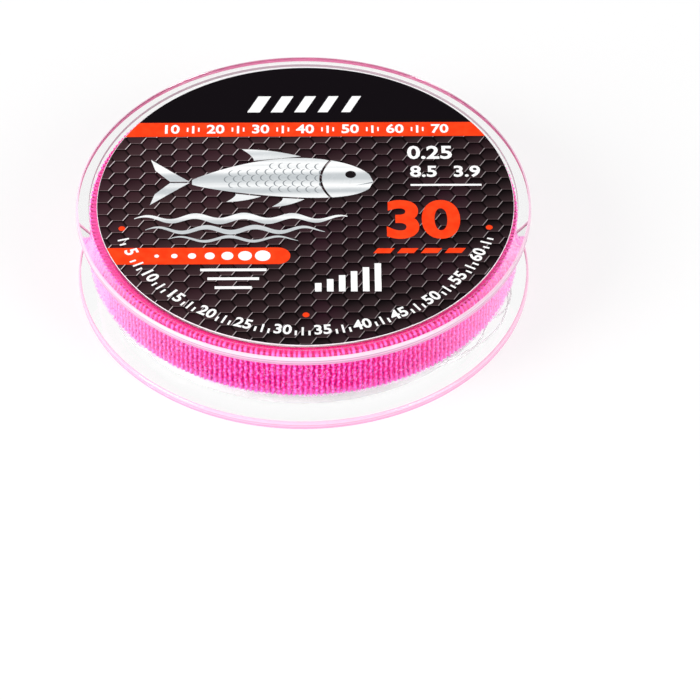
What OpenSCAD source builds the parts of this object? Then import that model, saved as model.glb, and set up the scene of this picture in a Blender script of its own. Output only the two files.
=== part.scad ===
// Fishing line spool: two clear flanged halves snapped together round a hub, a
// printed label in the front face, a level-wound line and the knitted elastic
// band that keeps the line from springing off.
// Millimetres. Origin at the centre of the rear face, +Z towards the label.

/* [Flanges] */
// Diameter of both flanges
flange_d = 60; // [58:0.5:70]
// Thickness of each flange
flange_t = 1.25; // [1:0.05:1.8]
// Clear width between the two flanges
channel_w = 10.1; // [9:0.1:14]
// Rounding of the flange rims
rim_round = 0.3; // [0.1:0.05:0.45]

/* [Hub] */
// Outer diameter of the drum that the line is wound on
drum_d = 52.2; // [50:0.1:55]
// Wall of the drum, moulded with the front flange
drum_wall = 1.1; // [1:0.05:1.4]
// Wall of the sleeve, moulded with the rear flange
sleeve_wall = 1; // [0.8:0.05:1.3]
// Radial clearance between drum and sleeve
sleeve_gap = 0.1; // [0.05:0.01:0.2]
// Clearance left where the two halves meet end to end
seat_gap = 0.05; // [0.02:0.01:0.1]
// Thickness of the web that closes the rear of the hub
web_t = 1.2; // [0.8:0.1:1.6]
// Depth of the web below the rear face
web_recess = 1; // [0.5:0.1:1.5]

/* [Snap fit] */
// Number of snap fingers in the sleeve
finger_count = 6; // [4:1:8]
// Width of the slots between the fingers
finger_slot_w = 1.4; // [1:0.1:2]
// Height of the solid foot of the sleeve above the web
finger_foot = 1; // [0.5:0.1:2]
// Height of the fingers above the web
finger_h = 7; // [6:0.1:7.6]
// Height of each barb
barb_h = 0.9; // [0.6:0.1:1.2]
// Reach of each barb beyond the sleeve
barb_reach = 0.35; // [0.2:0.05:0.4]
// Clearance round the barbs in the groove of the drum
barb_gap = 0.1; // [0.05:0.01:0.15]

/* [Spindle boss] */
// Diameter of the spindle bore
bore_d = 8.1; // [6:0.1:10]
// Wall of the boss round the bore
boss_wall = 1.4; // [1:0.1:2]
// Depth of the boss's end face below the rear face
boss_recess = 0.3; // [0.1:0.1:0.8]
// Chamfer at the mouth of the bore
bore_chamfer = 0.4; // [0.2:0.1:0.8]
// Wall of the socket that centres the boss in the front half
socket_wall = 1; // [0.8:0.1:1.4]
// Depth of that socket
socket_h = 2.4; // [1.5:0.1:3]
// Radial clearance of the boss in the socket
socket_gap = 0.1; // [0.05:0.01:0.2]
// Number of ribs between boss and sleeve
rib_count = 9; // [3:1:12]
// Thickness of each rib
rib_t = 0.9; // [0.7:0.1:1.2]
// Height of a rib at the boss
rib_h_boss = 5.5; // [3:0.1:6]
// Height of a rib at the sleeve
rib_h_sleeve = 0.9; // [0.5:0.1:1]

/* [Label] */
// Diameter of the printed label
label_d = 55; // [50:0.5:55.5]
// Thickness of the label film
label_t = 0.1; // [0.06:0.01:0.15]
// Clearance between the label and the rim of its seat, where the two come closest
label_margin = 0.3; // [0.2:0.05:0.5]
// Depth of the label seat
seat_depth = 0.37; // [0.3:0.01:0.5]
// Thickness of the adhesive under the label
glue_t = 0.02; // [0.01:0.01:0.04]
// Sideways offset of the label from the axis
label_offset_x = 0.26; // [-0.3:0.01:0.3]
// Upward offset of the label from the axis
label_offset_y = 0.37; // [-0.4:0.01:0.4]

/* [Line] */
// Diameter of the line
line_d = 0.22; // [0.16:0.01:0.26]
// Spacing of neighbouring turns
turn_pitch = 0.225; // [0.2:0.001:0.3]
// Full layers of line on the drum
full_layers = 2; // [1:1:2]
// Turns in the unfinished outer layer
top_turns = 30; // [5:1:40]
// Clearance between the line and the plastic
line_gap = 0.03; // [0.02:0.01:0.05]
// Diameter of the anchor hole through the drum
anchor_d = 0.5; // [0.4:0.05:0.7]
// Diameter of the stopper knot at the start of the line
knot_d = 0.9; // [0.8:0.05:0.95]

/* [Elastic band] */
// Width of the band
band_w = 6.7; // [5:0.1:8]
// Thickness of the band over its ribs
band_t = 1.57; // [1.2:0.01:1.8]
// Clearance between the band and the line under it
band_gap = 0.12; // [0.1:0.01:0.2]
// Clearance between the band and the front flange
band_lift = 0.15; // [0.1:0.01:0.5]
// Spacing of the knitted ribs round the band
knit_pitch = 0.71; // [0.6:0.01:1]
// Height of the knitted ribs
knit_h = 0.2; // [0.1:0.01:0.24]
// Number of elastic threads laid into the knit
thread_count = 7; // [4:1:8]
// Diameter of each elastic thread
thread_d = 0.5; // [0.3:0.01:0.6]
// Clearance round the elastic threads
thread_gap = 0.03; // [0.02:0.01:0.05]

/* [Hidden] */
$fn = 180;

flange_r = flange_d / 2;
total_h = channel_w + 2 * flange_t;
channel_z = flange_t;
front_z = flange_t + channel_w;

drum_r = drum_d / 2;
drum_inner_r = drum_r - drum_wall;
sleeve_r = drum_inner_r - sleeve_gap;
sleeve_inner_r = sleeve_r - sleeve_wall;
web_top = web_recess + web_t;

slot_z = web_top + finger_foot;
finger_top = web_top + finger_h;
barb_z = finger_top - barb_h;
slot_angle = 360 / finger_count;

bore_r = bore_d / 2;
boss_r = bore_r + boss_wall;
boss_top = front_z - seat_gap;
socket_inner_r = boss_r + socket_gap;
rib_overlap = 0.3;

seat_r = label_d / 2 + norm([label_offset_x, label_offset_y]) + label_margin;
seat_z = total_h - seat_depth;
label_z = seat_z + glue_t;

// Turns that fit side by side, and the radius of each layer's middle. Each layer
// nests in the valleys of the one below it, as packed circles do.
layer_turns = floor((channel_w - 2 * line_gap) / turn_pitch);
winding_z = channel_z + (channel_w - layer_turns * turn_pitch) / 2;
layer_rise = sqrt(pow(line_d, 2) - pow(turn_pitch / 2, 2));
first_layer_r = drum_r + line_gap + line_d / 2;
outer_turns = min(top_turns, layer_turns);
winding_r = first_layer_r + full_layers * layer_rise + line_d / 2;
anchor_angle = 90;
anchor_z = slot_z + knot_d;

band_inner_r = winding_r + band_gap;
band_r = band_inner_r + band_t;
band_top = front_z - band_lift;
band_z = band_top - band_w;
knit_ribs = round(2 * PI * band_r / knit_pitch);
knit_steps = 4;
thread_r = thread_d / 2;
thread_ring_r = band_inner_r + thread_gap + thread_r;
thread_spacing = band_w / thread_count;

cut = 1;

clear_front = [0.93, 0.96, 0.98, 0.35];
clear_rear = [0.9, 0.94, 0.97, 0.35];
label_black = [0.11, 0.09, 0.1];
line_clear = [0.9, 0.88, 0.88, 0.7];
band_pink = [0.95, 0.2, 0.62];
thread_white = [0.92, 0.9, 0.88];

// A ring between two radii and two heights.
module ring(r_out, r_in, z0, z1) {
    translate([0, 0, z0])
        difference() {
            cylinder(r = r_out, h = z1 - z0);
            translate([0, 0, -cut]) cylinder(r = r_in, h = z1 - z0 + 2 * cut);
        }
}

// Half section of a flange, with both corners of its rim rounded.
module flange_section(z0) {
    z1 = z0 + flange_t;
    straight_r = flange_r - rim_round;
    translate([0, z0]) square([straight_r, flange_t]);
    translate([0, z0 + rim_round]) square([flange_r, flange_t - 2 * rim_round]);
    for (z = [z0 + rim_round, z1 - rim_round])
        translate([straight_r, z]) circle(r = rim_round, $fn = 32);
}

module flange(z0) {
    rotate_extrude() flange_section(z0);
}

// Half section of one ring of barbs: a lead-in slope above a square catch.
module barb_section(reach, z0, z1) {
    root = sleeve_wall / 2;
    polygon([[sleeve_r - root, z0], [sleeve_r + reach, z0], [sleeve_r, z1], [sleeve_r - root, z1]]);
}

// The slots that part the sleeve into fingers.
module finger_slots() {
    for (i = [0:finger_count - 1])
        rotate([0, 0, anchor_angle + i * slot_angle])
            translate([sleeve_inner_r - cut, -finger_slot_w / 2, slot_z])
                cube([sleeve_wall + barb_reach + 2 * cut, finger_slot_w, finger_h]);
}

module snap_sleeve() {
    difference() {
        union() {
            ring(sleeve_r, sleeve_inner_r, web_recess, finger_top);
            rotate_extrude() barb_section(barb_reach, barb_z, finger_top);
        }
        finger_slots();
    }
}

// One rib: tall at the boss, low at the sleeve, standing on the web.
module web_rib() {
    foot = web_top - rib_overlap;
    inner = boss_r - rib_overlap;
    outer = sleeve_inner_r + rib_overlap;
    rotate([90, 0, 0])
        translate([0, 0, -rib_t / 2])
            linear_extrude(height = rib_t)
                polygon([
                    [inner, foot], [outer, foot], [outer, web_top + rib_h_sleeve],
                    [inner, web_top + rib_h_boss],
                ]);
}

module line_anchor_hole(d) {
    rotate([0, 0, anchor_angle])
        translate([sleeve_inner_r, 0, anchor_z])
            rotate([0, 90, 0])
                cylinder(d = d, h = drum_r - sleeve_inner_r + cut, $fn = 32);
}

module front_half() {
    color(clear_front)
        difference() {
            union() {
                flange(front_z);
                ring(drum_r, drum_inner_r, channel_z + seat_gap, front_z + flange_t / 2);
                ring(
                    socket_inner_r + socket_wall, socket_inner_r,
                    front_z - socket_h, front_z + flange_t / 2
                );
            }
            translate([0, 0, seat_z]) cylinder(r = seat_r, h = seat_depth + cut);
            ring(
                drum_inner_r + barb_reach + barb_gap - sleeve_gap, drum_inner_r - sleeve_gap,
                barb_z - barb_gap, finger_top + barb_gap
            );
            line_anchor_hole(anchor_d);
        }
}

module rear_half() {
    color(clear_rear)
        difference() {
            union() {
                difference() {
                    flange(0);
                    translate([0, 0, -cut]) cylinder(r = sleeve_inner_r, h = web_recess + cut);
                    translate([0, 0, web_recess]) cylinder(r = sleeve_inner_r, h = flange_t);
                }
                ring(sleeve_r, 0, web_recess, web_top);
                snap_sleeve();
                translate([0, 0, boss_recess]) cylinder(r = boss_r, h = boss_top - boss_recess);
                for (i = [0:rib_count - 1])
                    rotate([0, 0, i * 360 / rib_count]) web_rib();
            }
            translate([0, 0, -cut]) cylinder(r = bore_r, h = total_h + cut);
            translate([0, 0, boss_recess])
                cylinder(r1 = bore_r + bore_chamfer, r2 = bore_r, h = bore_chamfer);
        }
}

module front_label() {
    color(label_black)
        translate([label_offset_x, label_offset_y, label_z])
            cylinder(d = label_d, h = label_t);
}

// Radius of the middle of turn i in the outermost layer there.
function turn_r(i) = first_layer_r + (i < outer_turns ? full_layers : full_layers - 1) * layer_rise;

// Outline of the winding's outer face: each turn shows as one rounded ridge.
function ridge_points() = [
    for (i = [0:layer_turns - 1])
        for (a = [-60:30:60])
            [turn_r(i) + line_d / 2 * cos(a), winding_z + (i + 0.5) * turn_pitch + line_d / 2 * sin(a)],
];

module line_winding() {
    inner = drum_r + line_gap;
    knot_r = drum_inner_r - knot_d / 2;
    color(line_clear)
        union() {
            rotate_extrude()
                polygon(concat(
                    [[inner, winding_z]],
                    ridge_points(),
                    [[inner, winding_z + layer_turns * turn_pitch]]
                ));
            rotate([0, 0, anchor_angle])
                translate([knot_r, 0, anchor_z]) {
                    sphere(d = knot_d, $fn = 32);
                    rotate([0, 90, 0])
                        cylinder(d = line_d, h = first_layer_r - knot_r, $fn = 16);
                }
        }
}

// Outline of the band: one rounded rib for each knitted wale.
function knit_outline() = [
    for (i = [0:knit_ribs * knit_steps - 1])
        let (a = i * 360 / (knit_ribs * knit_steps),
             phase = (i % knit_steps) / knit_steps,
             r = band_r - knit_h * (1 - sin(180 * phase)))
        [r * cos(a), r * sin(a)],
];

module elastic_band() {
    groove_r = thread_ring_r + thread_r + thread_gap;
    groove_w = thread_d + 2 * thread_gap;
    color(band_pink)
        difference() {
            translate([0, 0, band_z]) linear_extrude(height = band_w) polygon(knit_outline());
            translate([0, 0, band_z - cut]) cylinder(r = band_inner_r, h = band_w + 2 * cut);
            for (i = [0:thread_count - 1])
                translate([0, 0, band_z + (i + 0.5) * thread_spacing - groove_w / 2])
                    cylinder(r = groove_r, h = groove_w);
        }
}

module elastic_threads() {
    color(thread_white)
        for (i = [0:thread_count - 1])
            translate([0, 0, band_z + (i + 0.5) * thread_spacing])
                rotate_extrude() translate([thread_ring_r, 0]) circle(r = thread_r, $fn = 24);
}

front_half();
rear_half();
front_label();
line_winding();
elastic_band();
elastic_threads();
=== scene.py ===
# %% [markdown]
# # A fishing line spool
# The spool is two clear mouldings snapped together, with a printed label in its front
# face, some twenty metres of thin line on its drum and a knitted elastic band over the
# line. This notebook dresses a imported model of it, one piece and one finish at a time.
# Everything is in metres, and +Z points from the rear face to the label.

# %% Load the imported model
import math
import random

import bmesh
import bpy
from mathutils import Matrix, Vector, noise


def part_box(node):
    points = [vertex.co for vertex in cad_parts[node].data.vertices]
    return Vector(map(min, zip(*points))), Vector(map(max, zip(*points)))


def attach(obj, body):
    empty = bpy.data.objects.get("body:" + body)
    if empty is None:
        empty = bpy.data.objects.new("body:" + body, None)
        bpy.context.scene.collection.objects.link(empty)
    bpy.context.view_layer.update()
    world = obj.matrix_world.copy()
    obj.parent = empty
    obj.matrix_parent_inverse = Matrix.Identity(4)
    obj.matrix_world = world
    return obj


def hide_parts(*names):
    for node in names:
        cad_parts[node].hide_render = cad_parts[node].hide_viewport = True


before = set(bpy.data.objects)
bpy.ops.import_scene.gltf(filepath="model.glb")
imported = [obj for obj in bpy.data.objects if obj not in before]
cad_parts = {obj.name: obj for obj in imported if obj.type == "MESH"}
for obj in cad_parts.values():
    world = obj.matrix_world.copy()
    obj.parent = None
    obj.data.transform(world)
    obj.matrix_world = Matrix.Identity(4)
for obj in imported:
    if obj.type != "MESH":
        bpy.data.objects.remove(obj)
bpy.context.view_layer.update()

# %% [markdown]
# ## Sizes
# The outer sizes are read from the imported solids, so that the looks always fit them.
# What a box can't tell, such as a wall or a clearance, is a named value.

# %% Sizes
MM = 0.001
BODY_SPOOL = "spool"
BODY_BAND = "band"

flange_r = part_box("front_half")[1].x
top_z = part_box("front_half")[1].z
label_low, label_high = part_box("front_label")
label_r = (label_high.x - label_low.x) / 2
label_z = label_high.z
label_centre = Vector(((label_low.x + label_high.x) / 2, (label_low.y + label_high.y) / 2, label_z))
band_low, band_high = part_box("elastic_band")
band_r = band_high.x

flange_t = 1.25 * MM
rim_round = 0.3 * MM
channel_z = flange_t
front_z = top_z - flange_t

drum_r = 26.1 * MM
drum_wall = 1.1 * MM
sleeve_gap = 0.1 * MM
sleeve_wall = 1.0 * MM
drum_inner_r = drum_r - drum_wall
sleeve_r = drum_inner_r - sleeve_gap
sleeve_inner_r = sleeve_r - sleeve_wall
seat_gap = 0.05 * MM
web_recess = 1.0 * MM
web_t = 1.2 * MM
web_top = web_recess + web_t

finger_count = 6
finger_foot = 1.0 * MM
finger_h = 7.0 * MM
finger_top = web_top + finger_h
slot_z = web_top + finger_foot
slot_w = 1.4 * MM
barb_h = 0.9 * MM
barb_z = finger_top - barb_h
barb_reach = 0.35 * MM
barb_gap = 0.1 * MM

bore_r = 4.05 * MM
bore_chamfer = 0.4 * MM
boss_wall = 1.4 * MM
boss_r = bore_r + boss_wall
boss_recess = 0.3 * MM
socket_gap = 0.1 * MM
socket_wall = 1.0 * MM
socket_inner_r = boss_r + socket_gap
socket_r = socket_inner_r + socket_wall
socket_h = 2.4 * MM
rib_count = 9
rib_t = 0.9 * MM
rib_h_boss = 5.5 * MM
rib_h_sleeve = 0.9 * MM

label_margin = 0.3 * MM
seat_depth = 0.37 * MM
seat_r = label_r + label_centre.xy.length + label_margin
seat_z = top_z - seat_depth

line_d = 0.22 * MM
turn_pitch = 0.225 * MM
line_gap = 0.03 * MM
anchor_d = 0.5 * MM
knot_d = 0.9 * MM
anchor_z = slot_z + knot_d
print(f"flange {flange_r / MM:.2f} mm, height {top_z / MM:.2f} mm, label {label_r / MM:.2f} mm")

# %% [markdown]
# ## Camera
# The product stands to the camera as it would on a desk, seen from a little above
# forty degrees through a long lens, which keeps the two flanges almost the same size.
# The camera aims at a point on the axis and is then turned a touch about its own axes,
# which sets the spool up and to the left in the frame.

# %% Camera


def add_object(name, data):
    """Puts a mesh, a curve, a camera or a lamp into the scene as an object."""
    thing = bpy.data.objects.new(name, data)
    bpy.context.scene.collection.objects.link(thing)
    return thing


camera_distance = 633.9 * MM
camera_height_angle = math.radians(42.03)
camera_target = Vector((0, 0, 7 * MM))
camera_yaw = math.radians(-0.55)
camera_pitch = math.radians(-1.39)
camera_roll = math.radians(0.21)

camera_data = bpy.data.cameras.new("camera")
camera_data.sensor_width = 36
camera_data.lens = 246
camera_data.clip_start = 10 * MM
camera = add_object("camera", camera_data)
backwards = Vector((0, -math.cos(camera_height_angle), math.sin(camera_height_angle)))
camera.matrix_world = (
    Matrix.Translation(camera_target + backwards * camera_distance)
    @ Matrix.Rotation(math.pi / 2 - camera_height_angle, 4, "X")
    @ Matrix.Rotation(camera_yaw, 4, "Y")
    @ Matrix.Rotation(camera_pitch, 4, "X")
    @ Matrix.Rotation(-camera_roll, 4, "Z")
)
bpy.context.scene.camera = camera
print("camera at", [round(v, 4) for v in camera.location])

# %% [markdown]
# ## Helpers for meshes
# Most pieces start as a bmesh. `finish_mesh` turns one into an object at the origin
# with its place in its mesh, smooth where faces meet at a small angle.

# %% From bmesh to object
SMOOTH_ANGLE = math.radians(35)


def is_sharp(edge):
    return len(edge.link_faces) == 2 and edge.calc_face_angle(0) > SMOOTH_ANGLE


def finish_mesh(bm, name, smooth=True):
    """Turns a bmesh into a scene object, smooth apart from its sharp edges."""
    for face in bm.faces:
        face.smooth = smooth
    for edge in bm.edges:
        edge.smooth = not is_sharp(edge)
    mesh = bpy.data.meshes.new(name)
    bm.to_mesh(mesh)
    bm.free()
    return add_object(name, mesh)


def applied_mesh(piece):
    """The mesh of an object with its modifiers or its bevel applied."""
    bpy.context.view_layer.update()
    depsgraph = bpy.context.evaluated_depsgraph_get()
    return bpy.data.meshes.new_from_object(piece.evaluated_get(depsgraph))


# %% [markdown]
# A moulded disc, a boss and a label are all turned shapes. Each could be put together
# from cylinders, but one half section spun round the axis gives the whole form, rounds
# and recesses included. After the spin the doubles on the seam and on the axis are
# merged, and then the faces are turned outwards.

# %% Arcs and the lathe


def arc(centre_x, centre_y, radius, start, stop, steps):
    """Points of an arc in a plane, from one angle to another in degrees."""
    angles = [math.radians(start + (stop - start) * i / steps) for i in range(steps + 1)]
    return [(centre_x + radius * math.cos(a), centre_y + radius * math.sin(a)) for a in angles]


def lathe(section, steps, closed):
    """Spins a half section of (radius, height) points a full turn about Z."""
    bm = bmesh.new()
    verts = [bm.verts.new((r, 0, z)) for r, z in section]
    edges = [bm.edges.new(pair) for pair in zip(verts, verts[1:])]
    if closed:
        edges.append(bm.edges.new((verts[-1], verts[0])))
    bmesh.ops.spin(
        bm, geom=verts + edges, cent=(0, 0, 0), axis=(0, 0, 1),
        angle=2 * math.pi, steps=steps, use_merge=True,
    )
    bmesh.ops.remove_doubles(bm, verts=bm.verts, dist=1e-7)
    bmesh.ops.recalc_face_normals(bm, faces=bm.faces)
    return bm


# %% [markdown]
# Three tools finish a shape: a bevel for moulded corners, an extrusion that hands back
# the corners it moved, and an exact boolean for what can't be turned.

# %% Bevel, extrusion and boolean


def soften_edges(bm, width):
    """Bevels every edge of a bmesh where the faces turn sharply."""
    bmesh.ops.bevel(
        bm, geom=[edge for edge in bm.edges if is_sharp(edge)], offset=width,
        offset_type="OFFSET", segments=2, profile=0.5, affect="EDGES", clamp_overlap=True,
        material=-1,
    )


def extrude(bm, face, move):
    """Extrudes a face along a vector, and gives the corners that moved."""
    made = bmesh.ops.extrude_face_region(bm, geom=[face])["geom"]
    moved = [item for item in made if isinstance(item, bmesh.types.BMVert)]
    bmesh.ops.translate(bm, verts=moved, vec=move)
    return moved


def combine(piece, tool, operation):
    """Applies an exact boolean of another object, which is then deleted."""
    modifier = piece.modifiers.new(operation.lower(), "BOOLEAN")
    modifier.operation = operation
    modifier.solver = "EXACT"
    modifier.object = tool
    mesh = applied_mesh(piece)
    piece.modifiers.clear()
    piece.data = mesh
    bpy.data.objects.remove(tool)


# %% [markdown]
# ## The two clear halves
# Both halves have the same flange with a rounded rim. The mould parts at the middle of
# the rim and leaves a hair-thin bead there, so the rim's outline is two arcs with a small
# peak between them. The rim and the wall of the label's seat look unlike the rest of the
# clear plastic, so their faces get a material of their own, with painted glow and reflections.

# %% Rim of a flange
SPIN_STEPS = 256
RIM_STEPS = 6
corner_soft = 0.05 * MM
bead_h = 0.04 * MM


def rim(z0):
    """The rounded rim of a flange, from lower face to upper face, with its parting bead."""
    side_r = flange_r - bead_h
    round_r = side_r - rim_round
    middle = z0 + flange_t / 2
    return [
        *arc(round_r, z0 + rim_round, rim_round, -90, 0, RIM_STEPS),
        (side_r, middle - bead_h), (flange_r, middle), (side_r, middle + bead_h),
        *arc(round_r, z0 + flange_t - rim_round, rim_round, 0, 90, RIM_STEPS),
    ]


def mark_rim(piece):
    """Gives the faces of the rim and the wall of the label's seat the second material, whose glow is
    painted.
    """
    for polygon in piece.data.polygons:
        reach = polygon.center.xy.length
        on_rim = reach > flange_r - rim_round - bead_h
        on_seat_wall = abs(reach - seat_r) < 1.2 * corner_soft and polygon.center.z > seat_z
        if on_rim or on_seat_wall:
            polygon.material_index = 1


# %% [markdown]
# The front half carries the drum. Inside it are a groove for the barbs and a socket that
# centres the boss, and its face has the recess for the label. Moulded corners are never
# sharp, so a tiny bevel rounds them, which catches the light along a clear edge. The
# hole for the line's start goes through a wall, so a boolean drills it.

# %% Front half
groove_r = drum_inner_r + barb_reach + barb_gap - sleeve_gap
front_section = [
    (0, front_z), (socket_inner_r, front_z), (socket_inner_r, front_z - socket_h),
    (socket_r, front_z - socket_h), (socket_r, front_z), (drum_inner_r, front_z),
    (drum_inner_r, finger_top + barb_gap), (groove_r, finger_top + barb_gap),
    (groove_r, barb_z - barb_gap), (drum_inner_r, barb_z - barb_gap),
    (drum_inner_r, channel_z + seat_gap), (drum_r, channel_z + seat_gap), (drum_r, front_z),
    *rim(front_z),
    (seat_r, top_z), (seat_r, seat_z), (0, seat_z),
]
bm = lathe(front_section, SPIN_STEPS, closed=False)
soften_edges(bm, corner_soft)
front_half = finish_mesh(bm, "front_half_moulding")

cutter_l = 4 * MM
bm = bmesh.new()
bmesh.ops.create_cone(
    bm, cap_ends=True, segments=24, radius1=anchor_d / 2, radius2=anchor_d / 2, depth=cutter_l,
    matrix=Matrix.Translation((0, drum_r, anchor_z)) @ Matrix.Rotation(math.pi / 2, 4, "X"),
)
combine(front_half, finish_mesh(bm, "anchor_drill"), "DIFFERENCE")
mark_rim(front_half)
print("front half:", len(front_half.data.polygons), "faces")

# %% [markdown]
# The rear half slides into the drum with its sleeve, and barbs on the sleeve snap into
# the drum's groove. A recessed web carries the spindle boss with its chamfered bore.

# %% Rear half
rear_section = [
    (bore_r, front_z - seat_gap), (bore_r, boss_recess + bore_chamfer),
    (bore_r + bore_chamfer, boss_recess), (boss_r, boss_recess), (boss_r, web_recess),
    (sleeve_inner_r, web_recess), (sleeve_inner_r, 0),
    *rim(0),
    (sleeve_r, flange_t), (sleeve_r, barb_z), (sleeve_r + barb_reach, barb_z),
    (sleeve_r, finger_top), (sleeve_inner_r, finger_top), (sleeve_inner_r, web_top),
    (boss_r, web_top), (boss_r, front_z - seat_gap),
]
bm = lathe(rear_section, SPIN_STEPS, closed=True)
soften_edges(bm, corner_soft)
rear_half = finish_mesh(bm, "rear_half_moulding")

# %% [markdown]
# Two things on the rear half aren't turned. Slots part the sleeve into fingers that can
# bend, and tapering ribs stiffen the web between boss and sleeve. Each is made once in
# a loop and turned into place; all ribs are joined and all slots cut in one go.

# %% Ribs and slots
rib_sink = 0.3 * MM
bm = bmesh.new()
for i in range(rib_count):
    outline = [
        (boss_r - rib_sink, web_top - rib_sink), (sleeve_inner_r + rib_sink, web_top - rib_sink),
        (sleeve_inner_r + rib_sink, web_top + rib_h_sleeve),
        (boss_r - rib_sink, web_top + rib_h_boss),
    ]
    corners = [bm.verts.new((r, -rib_t / 2, z)) for r, z in outline]
    moved = extrude(bm, bm.faces.new(corners), (0, rib_t, 0))
    turn = Matrix.Rotation(2 * math.pi * i / rib_count, 3, "Z")
    bmesh.ops.rotate(bm, verts=corners + moved, cent=(0, 0, 0), matrix=turn)
bmesh.ops.recalc_face_normals(bm, faces=bm.faces)
ribs = finish_mesh(bm, "ribs")

bm = bmesh.new()
for i in range(finger_count):
    block = bmesh.ops.create_cube(bm, size=1)["verts"]
    bmesh.ops.scale(bm, verts=block, vec=(cutter_l, slot_w, finger_top))
    bmesh.ops.translate(bm, verts=block, vec=(sleeve_r, 0, slot_z + finger_top / 2))
    turn = Matrix.Rotation(math.pi / 2 + 2 * math.pi * i / finger_count, 3, "Z")
    bmesh.ops.rotate(bm, verts=block, cent=(0, 0, 0), matrix=turn)
slots = finish_mesh(bm, "slots")

combine(rear_half, ribs, "UNION")
combine(rear_half, slots, "DIFFERENCE")
mark_rim(rear_half)
print("rear half:", len(rear_half.data.polygons), "faces")

# %% [markdown]
# ## The line
# A level-wound spool lays its turns side by side. A bump map on a cylinder could hint at
# them, but a winding shows its single strands at every edge, so the line is laid turn by
# turn. For most of a turn it runs straight round; then it steps over by one pitch, always
# at the same place. A few turns have sprung off the drum, as stiff leader line does.

# %% Layers and single turns
TOP_TURNS = 30
crossing_share = 0.08
crossing_at = 0.25
channel_w = front_z - channel_z
layer_turns = math.floor((channel_w - 2 * line_gap) / turn_pitch)
winding_z = channel_z + (channel_w - layer_turns * turn_pitch) / 2
layer_rise = math.sqrt(line_d**2 - (turn_pitch / 2) ** 2)
first_layer_r = drum_r + line_gap + line_d / 2
layers = [layer_turns, layer_turns - 1, TOP_TURNS]
top_layer = len(layers) - 1
# Sprung turns of the top layer: turn, direction in degrees, reach out, rise, half width.
sprung_turns = [
    (4, -28, 2.3 * MM, 0.25 * MM, 28), (7, -40, 1.7 * MM, -0.5 * MM, 21),
    (9, -19, 1.9 * MM, -0.9 * MM, 18), (6, 214, 1.2 * MM, -0.3 * MM, 16),
]


def step_over(turns):
    """Height in turns, flat for most of a turn and rising by one at the crossing."""
    whole = math.floor(turns - crossing_at)
    part = (turns - crossing_at - whole) / crossing_share
    eased = min(part, 1)
    return whole + eased * eased * (3 - 2 * eased)


def spring_off(layer, done, angle):
    """How far a sprung turn stands out and up there: a soft hump on its stretch."""
    out = up = 0.0
    for turn, direction, reach, rise, width in sprung_turns:
        off = (math.degrees(angle) - direction + 180) % 360 - 180
        if layer == top_layer and abs(off) < width and math.floor(done) == turn:
            hump = math.cos(math.radians(90 * off / width)) ** 2
            out += reach * hump
            up += rise * hump
    return out, up


# %% [markdown]
# A loop lays the points of the whole winding. At the end of a layer the line climbs onto
# it and runs back in the valleys between the turns below, so each layer is one turn
# shorter than the last, apart from the unfinished one on top.

# %% Path of the winding
STEPS_PER_TURN = 96


def winding_path():
    """Points of the whole line, layer after layer."""
    points = []
    turned = 0.5
    level = winding_z + turn_pitch / 2
    direction = 1
    for layer, turns in enumerate(layers):
        radius = first_layer_r + layer * layer_rise
        start = turned
        base = level
        for i in range(turns * STEPS_PER_TURN + 1):
            done = i / STEPS_PER_TURN
            rise = step_over(start + done) - step_over(start)
            height = base + direction * rise * turn_pitch
            angle = 2 * math.pi * (start + done)
            out, up = spring_off(layer, done, angle)
            r = radius + out
            points.append((r * math.cos(angle), r * math.sin(angle), height + up))
        turned = start + turns
        level = height - direction * turn_pitch / 2
        direction = -direction
    return points


# %% [markdown]
# The line starts inside the drum, where a stopper knot holds it behind a small hole. A
# trefoil is the simplest closed knot, and one formula gives its points.

# %% Stopper knot
KNOT_STEPS = 48


def knot_path():
    """Points of the stopper knot inside the drum: a trefoil pulled tight."""
    reach = (knot_d - line_d) / 6
    centre = Vector((0, drum_inner_r - knot_d / 2, anchor_z))
    points = []
    for i in range(KNOT_STEPS + 1):
        t = 2 * math.pi * i / KNOT_STEPS
        across = reach * (math.sin(t) + 2 * math.sin(2 * t))
        along = reach * (math.cos(t) - 2 * math.cos(2 * t))
        points.append(centre + Vector((across, -reach * math.sin(3 * t), along)))
    return points


# %% [markdown]
# A curve with a round bevel makes a strand along its points. The curve is then turned
# into a mesh, because every finished piece has to be one.

# %% The strand


def strand_mesh(paths, thickness, name, resolution=1, capped=True):
    """A round strand along each path, as one mesh."""
    curve = bpy.data.curves.new(name, "CURVE")
    curve.dimensions = "3D"
    curve.bevel_depth = thickness / 2
    curve.bevel_resolution = resolution
    curve.use_fill_caps = capped
    for path in paths:
        spline = curve.splines.new("POLY")
        spline.points.add(len(path) - 1)
        for point, place in zip(spline.points, path):
            point.co = (*place, 1)
    strand = add_object(name, curve)
    mesh = applied_mesh(strand)
    bpy.data.objects.remove(strand)
    for polygon in mesh.polygons:
        polygon.use_smooth = True
    return add_object(name, mesh)


path = winding_path()
line_length = sum((Vector(a) - Vector(b)).length for a, b in zip(path, path[1:]))
stub = [(0, drum_inner_r - knot_d / 2, anchor_z), (0, first_layer_r, anchor_z)]
line_winding = strand_mesh([path, knot_path(), stub], line_d, "line_strand")
print(f"line: {line_length:.2f} m in {len(line_winding.data.polygons)} faces")

# %% [markdown]
# ## The elastic band
# The band is a tube of rib knit. Modelling every loop of yarn would take millions of
# faces, and a flat tube with a bump map would lose its ragged outline. A fine grid is
# therefore rolled into a tube, and its outside is moved in and out as the stitches
# are. First come the counts, the depths and the tube's section.

# %% Section of the band
RIB_COUNT = 251
COURSE_COUNT = 10
BAND_ROWS = 36
band_wall = 1.55 * MM
yarn_inset = 0.02 * MM
edge_round = 0.25 * MM
# How far from the face the rings of points across the upper edge lie.
top_rings = (0.65 * MM, 1.1 * MM)

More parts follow.
